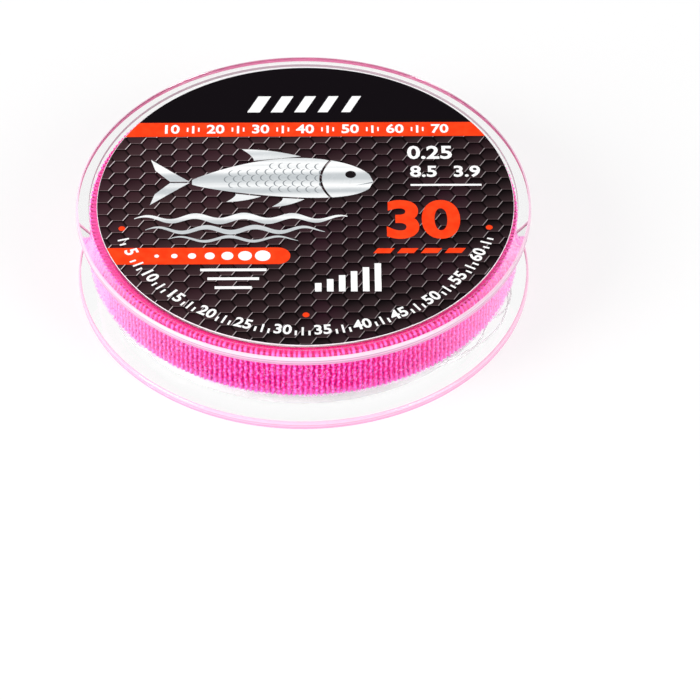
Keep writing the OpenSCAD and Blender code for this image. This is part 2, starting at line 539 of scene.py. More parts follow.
band_w = band_high.z - band_low.z
band_middle_z = (band_low.z + band_high.z) / 2
band_inner_r = band_r - band_wall
face_r = band_r - yarn_inset
face_low = band_low.z + edge_round
face_high = band_high.z - edge_round
face_w = face_high - face_low
band_section = [(face_r, face_low + face_w * i / BAND_ROWS) for i in range(BAND_ROWS + 1)]
band_section += arc(face_r - edge_round, face_high, edge_round, 30, 90, 2)
band_section += [(face_r - depth, band_high.z) for depth in top_rings]
band_section += [(band_inner_r, band_high.z), (band_inner_r, band_low.z)]
band_section += arc(face_r - edge_round, face_low, edge_round, -90, -30, 2)


# %% [markdown]
# Every rib is a column of stitches that lean left and right in turn, and a deep groove
# parts it from the next. One function gives the height of such a stitch. Another bends
# the columns with a little noise, roughens the yarn and turns each rib over the two
# edges of the band, where it ends in a small loop.

# %% Height of the knit
YARN_NOISE = 5200
BEND_NOISE = 40
# A stitch's lean and half width, as shares of a rib.
stitch_lean = 0.08
stitch_reach = 0.31
knit_depth = 0.34 * MM
top_depth = 0.09 * MM
edge_loop = 0.1 * MM


def knit_height(rib, course):
    """Height of the knit, from 0 in a groove to 1 on the crown of a stitch."""
    across = rib - math.floor(rib) - 0.5
    along = course - math.floor(course)
    lean = stitch_lean if math.floor(course) % 2 else -stitch_lean
    reach = (across - lean * math.sin(math.pi * along)) / stitch_reach
    ridge = math.sqrt(max(0.0, 1 - reach * reach))
    return ridge * (0.5 + 0.5 * math.sin(math.pi * along))


def knitted(turn, radius, z):
    """A point of the band's outside as the knit moves it, and the height of the knit there."""
    angle = 2 * math.pi * turn
    level = (z - band_low.z) / band_w
    where = Vector((math.cos(angle), math.sin(angle), level * 0.25)) * BEND_NOISE
    wander = 0.16 * noise.noise(where * 0.5) + 0.08 * noise.noise(where * 2.1)
    rib = turn * RIB_COUNT + wander
    course = level * COURSE_COUNT + 0.6 * noise.noise(where * 0.9) + 0.5 * (math.floor(rib) % 2)
    spot = Vector((radius * math.cos(angle), radius * math.sin(angle), z))
    yarn = noise.noise(spot * YARN_NOISE)
    crown = min(1.0, knit_height(rib, course) * (0.95 + 0.5 * yarn))
    on_face = max(0.0, 1 - (face_r - radius) / edge_round)
    radius -= knit_depth * (1 - crown) * on_face
    z -= math.copysign(top_depth * (1 - crown) * (1 - on_face), z - band_middle_z)
    edge_share = abs(z - band_middle_z) / (band_high.z - band_middle_z)
    groove = 0.5 + 0.5 * math.cos(2 * math.pi * rib)
    z -= math.copysign(edge_loop * groove * edge_share**8, z - band_middle_z)
    return radius, z, crown * (0.45 + 0.55 * on_face)


# %% [markdown]
# The grid's columns become angles and its rows become points of the section, so rolling
# it up closes it both ways. Each point keeps its height in the knit as an attribute,
# which the yarn's colour reads later.

# %% Roll the band
POINTS_PER_RIB = 8
bm = bmesh.new()
around = RIB_COUNT * POINTS_PER_RIB
rings = len(band_section)
bmesh.ops.create_grid(bm, x_segments=around, y_segments=rings, size=0.5)
height_layer = bm.verts.layers.float.new("knit_height")
for vert in bm.verts:
    turn = round((vert.co.x + 0.5) * around) % around / around
    radius, z = band_section[round((vert.co.y + 0.5) * rings) % rings]
    if radius > band_inner_r:
        radius, z, vert[height_layer] = knitted(turn, radius, z)
    angle = 2 * math.pi * turn
    vert.co = (radius * math.cos(angle), radius * math.sin(angle), z)
bmesh.ops.remove_doubles(bm, verts=bm.verts, dist=1e-7)
bmesh.ops.recalc_face_normals(bm, faces=bm.faces)
elastic_band = finish_mesh(bm, "knitted_band")
for edge in elastic_band.data.edges:
    edge.use_edge_sharp = False
print("band:", len(elastic_band.data.polygons), "faces")

# %% [markdown]
# Textured yarn is never clean: single filaments stand off the knit all over, and most of
# all along its free edges. Where the band turns away from the eye they overlap and veil
# it. Each is a thin strand that leaves the knit, bends and comes back to it.

# %% Stray filaments
FILAMENT_COUNT = 7500
EDGE_EVERY = 5
filament_d = 0.02 * MM
filament_root_r = band_r - 0.08 * MM
filament_top_z = band_high.z - 0.03 * MM
random.seed(7)
filaments = []
for i in range(FILAMENT_COUNT):
    angle = random.uniform(0, 2 * math.pi)
    at_edge = i % EDGE_EVERY == 0
    start_z = band_low.z + (edge_round if at_edge else random.uniform(0.04, 0.96) * band_w)
    length = random.uniform(0.25, 0.6) * MM
    lift = random.uniform(0.05, 0.14) * MM
    heading = random.uniform(-2.6, -0.5) if at_edge else random.uniform(0, 2 * math.pi)
    strand = []
    for share in (0, 0.5, 1):
        bend = heading + 1.2 * share * (1 if i % 2 else -1)
        along = length * share
        r = filament_root_r + lift * math.sin(math.pi * share)
        a = angle + along * math.cos(bend) / band_r
        z = min(start_z + along * math.sin(bend), filament_top_z)
        strand.append((r * math.cos(a), r * math.sin(a), z))
    filaments.append(strand)
filament_fuzz = strand_mesh(filaments, filament_d, "band_filaments", resolution=0, capped=False)
print("filaments:", len(filament_fuzz.data.polygons), "faces")

# %% [markdown]
# ## The label
# The label is a disc of white film printed on its front, spun from its half section. The
# print stops just short of the cut edge, so a thin white line shows all round.

# %% Label film
print_margin = 0.06 * MM
film_soft = 0.02 * MM
print_r = label_r - print_margin
label_section = [
    (0, label_z), (print_r, label_z), (label_r - film_soft, label_z),
    (label_r, label_z - film_soft), (label_r, label_low.z), (0, label_low.z),
]
bm = lathe(label_section, SPIN_STEPS, closed=False)
bmesh.ops.translate(bm, verts=bm.verts, vec=(label_centre.x, label_centre.y, 0))
for face in bm.faces:
    middle = face.calc_center_median()
    inside = (middle.xy - label_centre.xy).length < print_r
    face.material_index = 0 if inside and face.normal.z > 0.9 else 1
label = finish_mesh(bm, "label_film")
print("label:", len(label.data.polygons), "faces")

# %% [markdown]
# The solid colours of the print are thick inks that stand a hundredth of a millimetre
# proud of the film. Each patch is one face, made from an outline in millimetres from
# the label's middle, and extruded by the thickness of the ink.

# %% Patches of ink
INK_T = 0.015 * MM
INK_SINK = 0.002 * MM
ink_z = label_z - INK_SINK


def on_label(x, y, z):
    """A place on the label, x and y in millimetres from its middle."""
    return Vector((label_centre.x + x * MM, label_centre.y + y * MM, z))


def patch(bm, outline):
    """One patch of ink from its outline."""
    corners = [bm.verts.new(on_label(x, y, ink_z)) for x, y in outline]
    extrude(bm, bm.faces.new(corners), (0, 0, INK_T))


def disc(bm, x, y, radius, steps=20):
    """A round dot of ink."""
    patch(bm, arc(x, y, radius, 0, 360 - 360 / steps, steps - 1))


def box_patch(bm, x, y, width, height, slant=0.0):
    """A bar about its middle, leaning to the right by slant."""
    half_w, half_h, lean = width / 2, height / 2, slant / 2
    patch(bm, [
        (x - half_w - lean, y - half_h), (x + half_w - lean, y - half_h),
        (x + half_w + lean, y + half_h), (x - half_w + lean, y + half_h),
    ])


# %% [markdown]
# Numbers come from a text object, which is made a mesh before it is put in its place.
# A curve between three points helps to draw the fish, and `finish_ink` closes one ink.

# %% Numbers, bows and the finished ink
DIGIT_SHARE = 0.73
BIG_DIGIT = 4


def number(bm, text, x, y, height, turn=0.0, weight=0.035):
    """A plain number in ink, about its middle."""
    curve = bpy.data.curves.new("number", "FONT")
    curve.body = text
    curve.size = height / DIGIT_SHARE
    curve.offset = weight * height
    curve.extrude = INK_T / MM / 2
    curve.align_x = "CENTER"
    curve.align_y = "CENTER"
    curve.resolution_u = 3 if height < BIG_DIGIT else 8
    holder = add_object("number", curve)
    mesh = applied_mesh(holder)
    place = Matrix.Translation(on_label(x, y, ink_z + INK_T / 2))
    mesh.transform(place @ Matrix.Rotation(turn, 4, "Z") @ Matrix.Scale(MM, 4))
    bm.from_mesh(mesh)
    bpy.data.objects.remove(holder)
    bpy.data.meshes.remove(mesh)


def bow(start, middle, stop, steps=8):
    """Points of a curve that leaves start towards middle and ends at stop."""
    ends = list(zip(start, middle, stop))
    shares = [i / steps for i in range(steps + 1)]
    return [
        tuple((1 - t) ** 2 * a + 2 * t * (1 - t) * b + t * t * c for a, b, c in ends)
        for t in shares
    ]


def finish_ink(bm, name, lift=0.0):
    """Turns the patches of one ink into an object, lifted where it lies on another ink."""
    bmesh.ops.translate(bm, verts=bm.verts, vec=(0, 0, lift))
    bmesh.ops.recalc_face_normals(bm, faces=bm.faces)
    return finish_mesh(bm, name, smooth=False)


# %% [markdown]
# A leaping fish in silver is the label's large motif. Its back and belly follow one
# formula: the depth grows from the tail's root, is greatest past the middle and closes
# bluntly at the nose. A gap at the gill parts the head from the body.

# %% Body of the fish
fish_x, fish_y = -3.0, 4.9
fish_length = 24.0
fish_depth = 8.4
fish_arch = 0.9
gill_at = 0.77
gill_gap = 0.35
gill_bulge = 1.3


def half_depth(t):
    """Half the fish's depth at a share t of its length, from tail to nose."""
    return fish_depth / 2 * (0.11 * (1 - t) + 0.9 * t**0.9 * (1 - t) ** 0.5 / 0.4)


def flank(t, side):
    """A point of the back, side 1, or of the belly, side -1."""
    arch = fish_arch * math.sin(math.pi * t)
    return (fish_x + fish_length * (t - 0.5), fish_y + arch - fish_arch + side * half_depth(t))


def gill(offset, steps=10):
    """The curve of the gill, from back to belly."""
    upper, lower = flank(gill_at, 1), flank(gill_at, -1)
    middle = (upper[0] - 2 * gill_bulge, (upper[1] + lower[1]) / 2)
    return [(x + offset, y) for x, y in bow(upper, middle, lower, steps)]


silver = bmesh.new()
shares = [gill_at * i / 22 for i in range(22)]
back = [flank(t, 1) for t in shares]
belly = [flank(t, -1) for t in reversed(shares)]
patch(silver, back + gill(-gill_gap) + belly)
shares = [gill_at + (1 - gill_at) * i / 10 for i in range(1, 10)]
under, over = [flank(t, -1) for t in shares], [flank(t, 1) for t in reversed(shares)]
patch(silver, gill(0) + under + [flank(1, 1)] + over)

# %% [markdown]
# The two halves of the tail mirror each other, and the three fins share one form: a
# bowed leading edge, a tip and a hollow trailing edge. A thin gap of ground parts each
# from the body, as on a cut-out print.

# %% Tail and fins
tail_gap = 0.3
fin_gap = 0.3
fin_hollow = 0.8
# Fins: rear and front end along the fish, side, how far they stand out and lean back.
fins = ((0.34, 0.6, 1, 2.3, -1.6), (0.24, 0.38, -1, 1.6, -1.2), (0.5, 0.62, -1, 1.7, -1.4))
tail_x = fish_x - fish_length / 2 - tail_gap
root_y = fish_y - fish_arch


def tail_curve(side, *places):
    """A curve of the tail fin, from places behind its root and out to one side."""
    return bow(*((tail_x - behind, root_y + side * out) for behind, out in places))


for side in (1, -1):
    outside = tail_curve(side, (0, 0.12), (1.2, 1.0), (5.2, 4.5))
    fork = tail_curve(side, (4.6, 2.4), (3.6, 1.2), (2.6, 0.12))
    patch(silver, outside + fork)
for rear, front, side, reach, lean in fins:
    gap = fin_gap * side
    (front_x, front_y), (rear_x, rear_y) = flank(front, side), flank(rear, side)
    tip_x, tip_y = rear_x + lean, rear_y + side * reach
    tip = (tip_x, tip_y + gap)
    leading = bow((front_x, front_y + gap), ((front_x + tip_x) / 2, tip_y + gap), tip)
    hollow = ((tip_x + rear_x) / 2 + fin_hollow, (tip_y + rear_y) / 2)
    patch(silver, leading + bow(tip, hollow, (rear_x, rear_y + gap)))

# %% [markdown]
# Three waves lie under the fish. Each is a sine with a thickness that fades out at both
# ends, closed into one outline.

# %% Waves
WAVE_LENGTH = 6.4
# Waves: left end, right end, height on the label, swell and thickness.
waves = ((-22.5, 5.5, -3.2, 0.5, 1.25), (-21.0, 2.5, -5.4, 0.5, 0.9), (-18.0, -1.0, -7.2, 0.45, 0.55))


def wave(bm, left, right, y, swell, thickness, steps=72):
    """A ribbon that runs as a wave and thins out towards both ends."""
    upper, lower = [], []
    for i in range(steps + 1):
        share = i / steps
        x = left + (right - left) * share
        middle = y + swell * math.sin(2 * math.pi * (x - left) / WAVE_LENGTH)
        half = thickness / 2 * math.sin(math.pi * min(max(share, 0.01), 0.99)) ** 0.6
        upper.append((x, middle + half))
        lower.append((x, middle - half))
    patch(bm, upper + lower[::-1])


for shape in waves:
    wave(silver, *shape)
silver_ink = finish_ink(silver, "ink_silver")

# %% [markdown]
# Scales, a mouth and an eye lie over the silver. A scale is a thin crescent between two
# arcs, repeated in staggered rows where the body is deep enough.

# %% Scales, mouth and eye
scale_r = 0.62
scale_t = 0.16
scale_row = 1.15
eye_at = 0.875
eye_rise = 0.55
eye_r = 0.72

grey = bmesh.new()
for row in range(-2, 3):
    off = scale_row * row
    for column in range(11):
        t = 0.2 + 0.05 * column + (0.025 if row % 2 else 0)
        if abs(off) < 0.78 * half_depth(t) - 0.5:
            x, y = flank(t, 0)
            outer = arc(x, y + off, scale_r, 100, 260, 8)
            patch(grey, outer + arc(x + scale_t, y + off, scale_r, 260, 100, 8))
nose_x, nose_y = flank(1, 1)
patch(grey, [(nose_x, nose_y), (nose_x - 2.4, nose_y - 0.75), (nose_x - 0.2, nose_y - 0.3)])
grey_ink = finish_ink(grey, "ink_grey", INK_T / 2)

black = bmesh.new()
disc(black, fish_x + fish_length * (eye_at - 0.5), fish_y + eye_rise, eye_r)
black_ink = finish_ink(black, "ink_black", INK_T / 2)

# %% [markdown]
# White ink gives everything that has to be read: bars in the black cap, a rule in the
# stripe, plain numbers, rising bars and dashes. Loops space them evenly.

# %% White bars, rule and numbers
SMALL_DIGIT = 1.75
white = bmesh.new()
# Slanted bars in the black cap.
for i in range(5):
    box_patch(white, -6.2 + 3.1 * i, 19.8, 1.7 - 0.12 * i, 3.3, slant=1.5)

# The rule in the stripe: numbers, with a long and two short marks between them.
stripe_low, stripe_high = 13.2, 16.05
stripe_middle = (stripe_low + stripe_high) / 2
rule_reach, rule_step = 18, 6
for i, x in enumerate(range(-rule_reach, rule_reach + 1, rule_step)):
    number(white, str(10 * (i + 1)), x, stripe_middle, SMALL_DIGIT)
for x in range(rule_step // 2 - rule_reach, rule_reach, rule_step):
    box_patch(white, x, stripe_middle, 0.3, 1.5)
    for off in (-0.75, 0.75):
        box_patch(white, x + off, stripe_middle, 0.22, 0.8)

# Three numbers over a rule, a row of rising bars and three dashes.
number(white, "0.25", 16.6, 9.7, 2.6)
number(white, "8.5", 15.7, 5.9, 2.2)
number(white, "3.9", 21.4, 5.9, 2.2)
box_patch(white, 18.6, 3.3, 9.4, 0.35)
for i in range(6):
    height = 1.6 + 0.75 * i
    box_patch(white, 1.6 + 1.55 * i, -17.4 + height / 2, 0.85, height)
for i in range(3):
    box_patch(white, -9.4, -13.2 - 1.7 * i, 8.6 - 1.9 * i, 0.5)

# %% [markdown]
# A dial runs round the lower edge, as on a reel. Of every six marks one is a number, one
# is a long bar and two are short ones. Dots that grow to the right fill the tab.

# %% Dial and dots
dial_r = 24.75
dial_start, dial_stop, dial_step = 197, 343, 2
dial_cycle = 6
bar_corners = ((-1, 1), (-1, -1), (1, -1), (1, 1))
for angle in range(dial_start, dial_stop + 1, dial_step):
    mark = (angle - dial_start) // dial_step
    phase = mark % dial_cycle
    a = math.radians(angle)
    out = Vector((math.cos(a), math.sin(a)))
    if phase == dial_cycle // 2:
        value = str(5 * (mark // dial_cycle + 1))
        number(white, value, *(dial_r * out), SMALL_DIGIT, turn=a + math.pi / 2)
    elif phase in (0, 1, dial_cycle - 1):
        reach = 1.5 if phase == 0 else 0.85
        bar_r = dial_r + 0.9 - reach / 2
        side = Vector((-math.sin(a), math.cos(a))) * 0.14
        patch(white, [out * (bar_r + s * reach / 2) + side * t for s, t in bar_corners])

tab_low, tab_high = -12.1, -8.9
tab_middle = (tab_low + tab_high) / 2
for i in range(7):
    disc(white, -19.4 + 2.3 * i, tab_middle, 0.3 + 0.12 * i)
white_ink = finish_ink(white, "ink_white", INK_T)

# %% [markdown]
# Orange ink gives the stripe across the label, the tab at its left, the large number,
# the dashes and three dots. The stripe and the tab run out to the edge of the print, so
# their ends follow its circle.

# %% Orange ink
tab_right = -3.6


def left_edge(high, low, steps=8):
    """Points down the left edge of the print, from one height to another."""
    heights = (high + (low - high) * i / steps for i in range(steps + 1))
    return [(-math.sqrt((print_r / MM) ** 2 - y**2), y) for y in heights]


orange = bmesh.new()
tab_end = arc(tab_right, tab_middle, (tab_high - tab_low) / 2, -90, 90, 14)
patch(orange, left_edge(tab_high, tab_low) + tab_end)
stripe_left = left_edge(stripe_high, stripe_low)
patch(orange, stripe_left + [(-x, y) for x, y in reversed(stripe_left)])
number(orange, "30", 15.3, -3.9, 7.2, weight=0.05)
for i in range(4):
    box_patch(orange, 10.2 + 3.1 * i, -9.6, 2.2, 0.95, slant=0.6)
for angle, r in ((192, 24.6), (348, 24.6), (270, 21.8)):
    a = math.radians(angle)
    disc(orange, r * math.cos(a), r * math.sin(a), 0.45)
orange_ink = finish_ink(orange, "ink_orange")
inks = [silver_ink, grey_ink, black_ink, white_ink, orange_ink]
print("ink faces:", sum(len(piece.data.polygons) for piece in inks))

# %% [markdown]
# ## Materials
# Every material is made of nodes, so that it holds up from near and far. A node tree is
# easier to read as a short list of steps, so a small class wraps the calls: `Nodes` adds
# nodes, links sockets and does arithmetic.

# %% Node helper


class Nodes:
    """A thin wrapper round a node tree."""

    def __init__(self, tree):
        self.tree = tree

    def add(self, kind, **settings):
        """A new node with its settings."""
        node = self.tree.nodes.new(kind)
        for name, value in settings.items():
            setattr(node, name, value)
        return node

    def feed(self, socket, value):
        """Links an output to a socket, or sets a plain value on it."""
        if isinstance(value, bpy.types.NodeSocket):
            self.tree.links.new(value, socket)
        elif value is not None:
            socket.default_value = value

    def feed_all(self, node, *values):
        """Feeds a node's sockets in their order."""
        for socket, value in zip(node.inputs, values):
            self.feed(socket, value)

    def math(self, operation, a, b=None, c=None, clamp=False):
        node = self.add("ShaderNodeMath", operation=operation, use_clamp=clamp)
        self.feed_all(node, a, b, c)
        return node.outputs[0]

    def times(self, product, *factors):
        """A product of two or more values."""
        for factor in factors:
            product = self.math("MULTIPLY", product, factor)
        return product

    def vector(self, operation, a, b=None, c=None):
        node = self.add("ShaderNodeVectorMath", operation=operation)
        self.feed_all(node, a, b, c)
        return node.outputs["Value" if operation in ("LENGTH", "DOT_PRODUCT") else "Vector"]

    def axes(self, vector):
        """The outputs X, Y and Z of a vector."""
        node = self.add("ShaderNodeSeparateXYZ")
        self.feed_all(node, vector)
        return node.outputs

    def ramp(self, value, low, high, to_low=0.0, to_high=1.0):
        """A smooth step of value from low to high."""
        node = self.add("ShaderNodeMapRange", interpolation_type="SMOOTHSTEP")
        self.feed_all(node, value, low, high, to_low, to_high)
        return node.outputs[0]

    def mix(self, factor, a, b):
        """A mix of two colours."""
        node = self.add("ShaderNodeMix", data_type="RGBA")
        self.feed(node.inputs["Factor"], factor)
        self.feed(node.inputs[6], a)
        self.feed(node.inputs[7], b)
        return node.outputs[2]

    def mix_vector(self, factor, a, b):
        node = self.add("ShaderNodeMix", data_type="VECTOR")
        self.feed(node.inputs["Factor"], factor)
        self.feed(node.inputs[4], a)
        self.feed(node.inputs[5], b)
        return node.outputs[1]

    def noise(self, vector, scale, detail=2.0, roughness=0.5):
        node = self.add("ShaderNodeTexNoise")
        given = {"Vector": vector, "Scale": scale, "Detail": detail, "Roughness": roughness}
        for name, value in given.items():
            self.feed(node.inputs[name], value)
        return node.outputs["Fac"]

    def place(self):
        """The place on the piece, in metres."""
        return self.add("ShaderNodeTexCoord").outputs["Object"]

    def bump(self, height, strength, distance):
        node = self.add("ShaderNodeBump")
        for name, value in {"Height": height, "Strength": strength, "Distance": distance}.items():
            self.feed(node.inputs[name], value)
        return node.outputs[0]


# %% [markdown]
# `Finish` is a material together with its nodes and its Principled shader. What is the
# same all over a surface is set on the shader's own sockets, by name.

# %% Finish helper


class Finish(Nodes):
    """A new material: its nodes, and its Principled shader with plain values on its sockets."""

    def __init__(self, name, **sockets):
        self.material = bpy.data.materials.new(name)
        self.material.use_nodes = True
        super().__init__(self.material.node_tree)
        self.shader = self.tree.nodes["Principled BSDF"]
        for socket, value in sockets.items():
            self.shader.inputs[socket.replace("_", " ")].default_value = value

    def paint(self, colour):
        self.feed(self.shader.inputs["Base Color"], colour)


def srgb(red, green, blue):
    """A colour, 0 to 255, as the linear colour that a shader takes."""
    def linear(value):
        value /= 255
        return value / 12.92 if value <= 0.04045 else ((value + 0.055) / 1.055) ** 2.4
    return (linear(red), linear(green), linear(blue), 1.0)


# %% [markdown]
# Handling leaves the same traces on plastic, film and ink: a faint change of gloss from
# place to place and a surface that isn't quite flat. One node group gives both, and
# each material sets its own scale and range.

# %% Handling marks group
marks_tree = bpy.data.node_groups.new("handling_marks", "ShaderNodeTree")
add_socket = marks_tree.interface.new_socket
for name, default in (("Scale", 900.0), ("Low", 0.1), ("High", 0.2), ("Relief", 0.02)):
    socket = add_socket(name, in_out="INPUT", socket_type="NodeSocketFloat")
    socket.default_value = default
add_socket("Roughness", in_out="OUTPUT", socket_type="NodeSocketFloat")
add_socket("Normal", in_out="OUTPUT", socket_type="NodeSocketVector")
inner = Nodes(marks_tree)
given = inner.add("NodeGroupInput").outputs
result = inner.add("NodeGroupOutput").inputs
marks = inner.noise(inner.place(), given["Scale"], detail=4)
inner.feed(result["Roughness"], inner.ramp(marks, 0.4, 0.7, given["Low"], given["High"]))
dents = inner.noise(inner.place(), 160)
inner.feed(result["Normal"], inner.bump(dents, given["Relief"], 0.2 * MM))
print("handling marks:", len(marks_tree.nodes), "nodes")


def add_marks(finish, scale, low, high, relief):
    """Feeds a finish's roughness and normal from the handling marks."""
    group = finish.add("ShaderNodeGroup", node_tree=marks_tree)
    finish.feed_all(group, scale, low, high, relief)
    for output in group.outputs:
        finish.feed(finish.shader.inputs[output.name], output)


# %% [markdown]
# Clear polystyrene is made as glass is, and bends light a little more. A path tracer
# gives glass a black shadow unless shadow rays pass it, so a second, transparent shader
# takes those.

# %% Clear plastic
POLYSTYRENE_IOR = 1.58
CLEAR_SHADOW = (0.98, 0.98, 0.98, 1)


def blend_in(finish, factor, other):
    """Blends another shader into a finish by a factor."""
    join = finish.add("ShaderNodeMixShader")
    finish.feed_all(join, factor, finish.shader.outputs[0], other.outputs[0])
    finish.feed(finish.tree.nodes["Material Output"].inputs["Surface"], join.outputs[0])


def let_lamps_through(finish, tint):
    """Lets shadow rays pass a clear finish, so that it throws no black shadow."""
    through = finish.add("ShaderNodeBsdfTransparent")
    finish.feed_all(through, tint)
    blend_in(finish, finish.add("ShaderNodeLightPath").outputs["Is Shadow Ray"], through)


def clear_plastic():
    """Polished polystyrene, with lamps shining through it."""
    nodes = Finish(
        "clear_polystyrene", Base_Color=(1, 1, 1, 1), IOR=POLYSTYRENE_IOR, Transmission_Weight=1.0,
    )
    add_marks(nodes, scale=900, low=0.01, high=0.05, relief=0.015)
    let_lamps_through(nodes, CLEAR_SHADOW)
    return nodes.material


# %% [markdown]
# The rim of a clear disc glows, because it gathers the light and the band's pink from the
# whole disc. Tracing that takes far too many bounces, so the rim is only partly clear and
# its glow is painted in by height: paler upwards, pinker at the rear and from inside, with
# two fine grey lines of painted reflection.

# %% Rims
# Two fine grey lines of painted reflection run round a rim, this far above and below its middle.
painted_reflection_lines = (0.17 * MM, -0.2 * MM)


def rim_plastic():
    """The rims, with painted glow: paler upwards, a painted pink reflection at the rear and from
    inside. The seat's wall is painted as a grey edge.
    """
    nodes = Finish("rim_painted_glow", IOR=POLYSTYRENE_IOR, Transmission_Weight=0.3)
    place = nodes.place()
    z = nodes.axes(place)["Z"]
    half_rise = front_z / 2
    level = nodes.math("SUBTRACT", z, flange_t / 2)
    level = nodes.math("WRAP", level, half_rise, -half_rise)
    # Painted glow: pinkest at the lower face of a rim, paler towards its upper face.
    base = nodes.mix(nodes.ramp(level, -flange_t / 2, 0), srgb(255, 146, 208), srgb(255, 194, 230))
    base = nodes.mix(nodes.ramp(level, 0, flange_t / 3), base, srgb(255, 228, 244))
    # Painted pink reflection, stronger on the rear flange.
    rear = nodes.ramp(z, 2 * flange_t, flange_t, 0.0, 0.5)
    base = nodes.mix(rear, base, srgb(255, 152, 200))
    # Painted reflections: two fine grey lines round each rim.
    for line_at in painted_reflection_lines:
        off = nodes.math("ABSOLUTE", nodes.math("SUBTRACT", level, line_at))
        shade = nodes.ramp(off, 0.075 * MM, 0.02 * MM, 0.0, 0.8)
        base = nodes.mix(shade, base, srgb(172, 146, 162))
    # The wall of the label's seat is painted as a grey edge.
    reach = nodes.vector("LENGTH", nodes.vector("MULTIPLY", place, (1, 1, 0)))
    at_seat = nodes.math("LESS_THAN", reach, flange_r - 2 * rim_round)
    base = nodes.mix(at_seat, base, srgb(188, 184, 188))
    # Painted reflection of the band's pink, where the plastic is seen from inside.
    from_inside = nodes.add("ShaderNodeNewGeometry").outputs["Backfacing"]
    base = nodes.mix(from_inside, base, srgb(206, 104, 148))
    nodes.paint(base)
    add_marks(nodes, scale=1400, low=0.05, high=0.14, relief=0.03)
    let_lamps_through(nodes, CLEAR_SHADOW)
    return nodes.material


clear = clear_plastic()
rim_painted_glow = rim_plastic()
print("rim plastic:", len(rim_painted_glow.node_tree.nodes), "nodes")

# %% [markdown]
# The line is colourless nylon. Over a hundred clear turns side by side scatter what
# passes them, so the winding reads as a pale, silky grey: partial transmission is enough.

# %% Line
LINE_SHADOW = (0.9, 0.9, 0.9, 1)


def strand_material():
    """Colourless monofilament, a little rougher and greyer than the moulded plastic."""
    nodes = Finish(
        "clear_monofilament", Base_Color=(0.93, 0.915, 0.925, 1), IOR=1.42, Transmission_Weight=0.7,
    )
    add_marks(nodes, scale=700, low=0.08, high=0.22, relief=0.01)
    let_lamps_through(nodes, LINE_SHADOW)
    return nodes.material


line_material = strand_material()

# %% [markdown]
# The yarn is dyed a bright pink, and a faint painted glow stands in for its fluorescence. Shade
# is painted deep between the ribs, where the light hardly reaches, and a highlight pale on
# the crowns of the stitches. The mesh carries the height of the knit as an attribute, so
# the colour can follow it exactly. Where the band turns away, a painted sheen makes it paler,
# for the light on its loose filaments: the angle between the eye and the round of the tube
# sets that sheen.

# %% Knit


def knit_material():
    """Textured yarn, coloured by the height of the knit, with painted shade, highlights, glow and
    sheen.
    """
    # A faint painted glow stands in for the dye's fluorescence and lifts the knit in shade.
    nodes = Finish(
        "pink_rib_knit", Roughness=0.8, Specular_IOR_Level=0.2,
        Emission_Color=srgb(255, 0, 130), Emission_Strength=0.1,
    )
    height = nodes.add("ShaderNodeAttribute", attribute_name="knit_height").outputs["Fac"]
    place = nodes.place()
    flat_place = nodes.vector("MULTIPLY", place, (1, 1, 0))
    z = nodes.axes(place)["Z"]

    on_face = nodes.ramp(z, band_high.z - 0.2 * MM, band_high.z - 0.36 * MM)
    # The groove colour is painted deeper on the face than on the top edge, which lies in the label's
    # shade and is painted brighter.
    deep = nodes.mix(on_face, srgb(244, 0, 118), srgb(198, 0, 104))
    # Painted shade deep in the grooves and a painted highlight pale on the crowns, by the height of
    # the knit.
    base = nodes.mix(nodes.ramp(height, 0.05, 0.55), deep, srgb(246, 8, 144))
    base = nodes.mix(nodes.ramp(height, 0.5, 0.95), base, srgb(255, 116, 212))
    clouds = nodes.ramp(nodes.noise(place, 230, detail=3), 0.4, 0.75, 0.0, 0.16)
    base = nodes.mix(nodes.times(clouds, on_face), base, srgb(255, 118, 218))
    near_edge = nodes.ramp(z, band_low.z + 1.5 * MM, band_low.z, 0.0, 0.45)
    base = nodes.mix(near_edge, base, srgb(250, 140, 228))

    # Painted light on the loops along the top edge, which lie in the label's shade.
    reach = nodes.ramp(nodes.vector("LENGTH", flat_place), band_r - 1.1 * MM, band_r - 0.2 * MM)
    on_top = nodes.math("SUBTRACT", reach, on_face, clamp=True)
    on_loop = nodes.ramp(height, 0.05, 0.4, 0.0, 0.75)
    base = nodes.mix(nodes.times(on_top, on_loop), base, srgb(255, 124, 216))

    # Painted sheen: paler where the band turns away from the eye, for the light on its loose
    # filaments, and less on the top edge.
    outwards = nodes.add(
        "ShaderNodeVectorTransform", vector_type="NORMAL", convert_from="OBJECT", convert_to="WORLD",
    )
    nodes.feed_all(outwards, flat_place)
    slant = nodes.add("ShaderNodeLayerWeight")
    nodes.feed_all(slant, 0.5, nodes.vector("NORMALIZE", outwards.outputs[0]))
    fuzz = nodes.math("MULTIPLY_ADD", on_face, 0.45, 0.55)
    painted_sheen = nodes.times(nodes.ramp(slant.outputs["Facing"], 0.25, 0.95, 0.0, 0.8), fuzz)
    base = nodes.mix(painted_sheen, base, nodes.mix(on_face, srgb(255, 126, 214), srgb(255, 205, 238)))

    specks = nodes.ramp(nodes.noise(place, 3400), 0.52, 0.62)
    below_edge = nodes.ramp(z, band_high.z - 2 * edge_round, band_high.z - 4 * edge_round)
    in_groove = nodes.times(nodes.ramp(height, 0.6, 0.12), below_edge)
    base = nodes.mix(nodes.times(in_groove, 0.65, specks), base, srgb(112, 4, 116))
    nodes.paint(base)
    fibres = nodes.noise(place, 5200, detail=5, roughness=0.7)
    nodes.feed(nodes.shader.inputs["Normal"], nodes.bump(fibres, 0.6, 0.08 * MM))
    return nodes.material


# %% [markdown]
# Two more finishes belong to the band: its loose filaments, which are paler than the knit
# because light passes round them, and the bare elastic threads inside it.

# %% Filaments and threads


